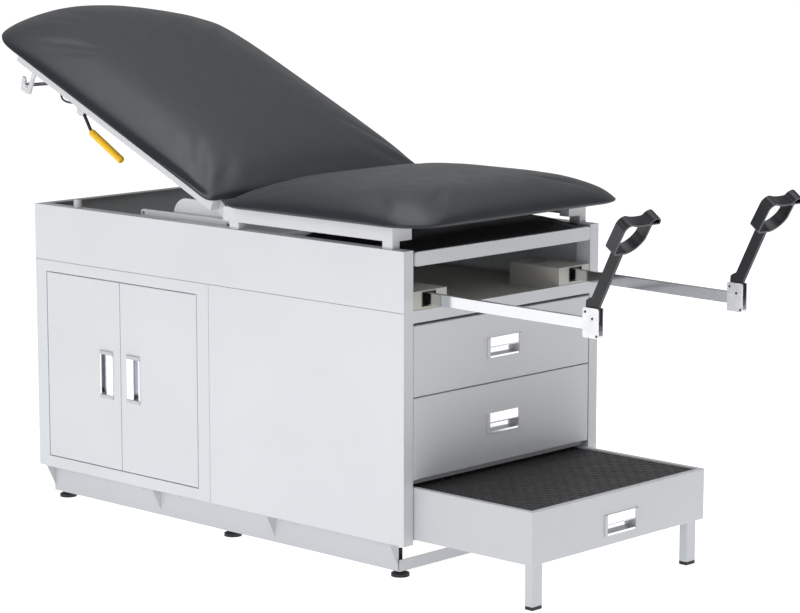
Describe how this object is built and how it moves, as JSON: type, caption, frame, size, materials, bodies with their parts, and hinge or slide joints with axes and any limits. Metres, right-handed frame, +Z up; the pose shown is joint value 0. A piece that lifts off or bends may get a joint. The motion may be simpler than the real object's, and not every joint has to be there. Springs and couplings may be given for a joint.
{
  "type": "medical exam table",
  "caption": "Cabinet-based exam table with raising backrest, padded seat, pull-out leg rest and step, drawers, side cupboard and swing-out stirrups on sliding bars.",
  "frame": {"origin": "centre of the bounding box at floor level", "axes": "+X towards the foot end with the drawers and the step, +Y towards the far side away from the cupboard doors, +Z up"},
  "size_m": [2.0428, 0.734, 1.2089],
  "materials": {
    "long_panels": "satin",
    "end_panels": "satin",
    "carcass": "satin",
    "frames": "satin",
    "runners": "satin",
    "vinyl": "satin",
    "chrome": "polished",
    "bracket": "satin",
    "black_plastic": "satin",
    "black_metal": "satin",
    "rubber": "matte",
    "grip": "satin"
  },
  "bodies": {
    "cabinet": {"near_side_panel": "long_panels", "near_apron": "long_panels", "far_side_panel": "long_panels", "far_apron": "long_panels", "rear_panel": "end_panels", "front_frame": "end_panels", "inner_carcass": "carcass", "base_frame": "carcass", "panel_screws": "runners", "fixed_runners": "runners", "stirrup_housings": "carcass", "slot_liners": "black_plastic", "seat_frame": "frames", "rubber_buffers": "rubber", "seat_pad": "vinyl", "hinge_plates": "frames", "tie_bars": "frames", "spring_anchor": "frames", "door_hinge_pins": "runners"},
    "left_door": {"left_door": "long_panels", "left_door_handle": "chrome"},
    "right_door": {"right_door": "long_panels", "right_door_handle": "chrome"},
    "drawer_1": {"drawer_1_front": "end_panels", "drawer_1_box": "carcass", "drawer_1_handle": "chrome"},
    "drawer_2": {"drawer_2_front": "end_panels", "drawer_2_box": "carcass", "drawer_2_handle": "chrome"},
    "step": {"step_box": "end_panels", "step_mat": "rubber", "step_legs": "end_panels", "step_leg_caps": "rubber", "step_handle": "chrome"},
    "leg_rest": {"leg_rest_tray": "end_panels", "leg_rest_pad": "vinyl"},
    "backrest": {"backrest_frame": "frames", "backrest_pad": "vinyl", "backrest_pins": "runners", "release_cable": "black_plastic", "cable_clips": "black_plastic"},
    "roll_rod": {"paper_roll_rod": "chrome"},
    "lever": {"release_lever": "black_metal", "lever_grip": "grip"},
    "spring_body": {"spring_cylinder": "black_metal"},
    "spring_ram": {"spring_rod": "chrome"},
    "near_swivel": {"near_swivel": "runners"},
    "near_bar": {"near_stirrup_bar": "chrome", "near_stirrup_bracket": "bracket"},
    "near_arm": {"near_stirrup_arm": "black_plastic"},
    "far_swivel": {"far_swivel": "runners"},
    "far_bar": {"far_stirrup_bar": "chrome", "far_stirrup_bracket": "bracket"},
    "far_arm": {"far_stirrup_arm": "black_plastic"},
    "foot_near_rear": {"foot_near_rear": "rubber"},
    "foot_near_mid": {"foot_near_mid": "rubber"},
    "foot_near_front": {"foot_near_front": "rubber"},
    "foot_far_rear": {"foot_far_rear": "rubber"},
    "foot_far_mid": {"foot_far_mid": "rubber"},
    "foot_far_front": {"foot_far_front": "rubber"}
  },
  "joints": [
    {"name": "backrest_tilt", "type": "hinge", "parent": "cabinet", "child": "backrest", "pos_m": [-0.164, 0, 0.75], "axis": [0, 1, 0], "range_deg": [-24.1, 25.9]},
    {"name": "roll_rod_spin", "type": "hinge", "parent": "backrest", "child": "roll_rod", "pos_m": [-0.85614, 0, 1.0125], "axis": [0, 1, 0], "continuous": true},
    {"name": "release", "type": "hinge", "parent": "backrest", "child": "lever", "pos_m": [-0.69351, -0.275, 0.95729], "axis": [0, -1, 0], "range_deg": [0, 12], "stiffness_Nm_per_rad": 2, "springref_deg": -8.59},
    {"name": "spring_tilt", "type": "hinge", "parent": "cabinet", "child": "spring_body", "pos_m": [-0.184, 0, 0.65], "axis": [0, 1, 0], "range_deg": [-22, 23.6]},
    {"name": "spring_extend", "type": "slide", "parent": "spring_body", "child": "spring_ram", "axis": [-0.8053, 0, 0.5928], "range_m": [-0.04, 0.043]},
    {"name": "leg_rest_slide", "type": "slide", "parent": "cabinet", "child": "leg_rest", "axis": [1, 0, 0], "range_m": [0, 0.33]},
    {"name": "drawer_1_slide", "type": "slide", "parent": "cabinet", "child": "drawer_1", "axis": [1, 0, 0], "range_m": [0, 0.34]},
    {"name": "drawer_2_slide", "type": "slide", "parent": "cabinet", "child": "drawer_2", "axis": [1, 0, 0], "range_m": [0, 0.34]},
    {"name": "step_slide", "type": "slide", "parent": "cabinet", "child": "step", "axis": [1, 0, 0], "range_m": [-0.338, 0]},
    {"name": "left_door_hinge", "type": "hinge", "parent": "cabinet", "child": "left_door", "pos_m": [-0.774, -0.3205, 0.341], "axis": [0, 0, -1], "range_deg": [0, 110]},
    {"name": "right_door_hinge", "type": "hinge", "parent": "cabinet", "child": "right_door", "pos_m": [-0.251, -0.3205, 0.341], "axis": [0, 0, 1], "range_deg": [0, 110]},
    {"name": "near_stirrup_swing", "type": "hinge", "parent": "cabinet", "child": "near_swivel", "pos_m": [0.289, -0.245, 0.612], "axis": [0, 0, 1], "range_deg": [-5, 9]},
    {"name": "near_stirrup_slide", "type": "slide", "parent": "near_swivel", "child": "near_bar", "axis": [0.9994, -0.0349, 0], "range_m": [-0.35, 0]},
    {"name": "near_stirrup_fold", "type": "hinge", "parent": "near_bar", "child": "near_arm", "pos_m": [0.88464, -0.2658, 0.634], "axis": [0.0349, 0.9994, 0], "range_deg": [0, 105]},
    {"name": "far_stirrup_swing", "type": "hinge", "parent": "cabinet", "child": "far_swivel", "pos_m": [0.289, 0.245, 0.612], "axis": [0, 0, 1], "range_deg": [-3.5, 10.5]},
    {"name": "far_stirrup_slide", "type": "slide", "parent": "far_swivel", "child": "far_bar", "axis": [0.9981, -0.061, 0], "range_m": [-0.35, 0]},
    {"name": "far_stirrup_fold", "type": "hinge", "parent": "far_bar", "child": "far_arm", "pos_m": [0.89387, 0.208, 0.634], "axis": [0.061, 0.9981, 0], "range_deg": [0, 105]},
    {"name": "foot_near_rear_level", "type": "slide", "parent": "cabinet", "child": "foot_near_rear", "axis": [0, 0, 1], "range_m": [-0.012, 0]},
    {"name": "foot_near_mid_level", "type": "slide", "parent": "cabinet", "child": "foot_near_mid", "axis": [0, 0, 1], "range_m": [-0.012, 0]},
    {"name": "foot_near_front_level", "type": "slide", "parent": "cabinet", "child": "foot_near_front", "axis": [0, 0, 1], "range_m": [-0.012, 0]},
    {"name": "foot_far_rear_level", "type": "slide", "parent": "cabinet", "child": "foot_far_rear", "axis": [0, 0, 1], "range_m": [-0.012, 0]},
    {"name": "foot_far_mid_level", "type": "slide", "parent": "cabinet", "child": "foot_far_mid", "axis": [0, 0, 1], "range_m": [-0.012, 0]},
    {"name": "foot_far_front_level", "type": "slide", "parent": "cabinet", "child": "foot_far_front", "axis": [0, 0, 1], "range_m": [-0.012, 0]}
  ],
  "couplings": [
    {"joint": "spring_tilt", "follows": "backrest_tilt", "ratio": 0.8953},
    {"joint": "spring_extend", "follows": "backrest_tilt", "m_per_rad": 0.09}
  ]
}
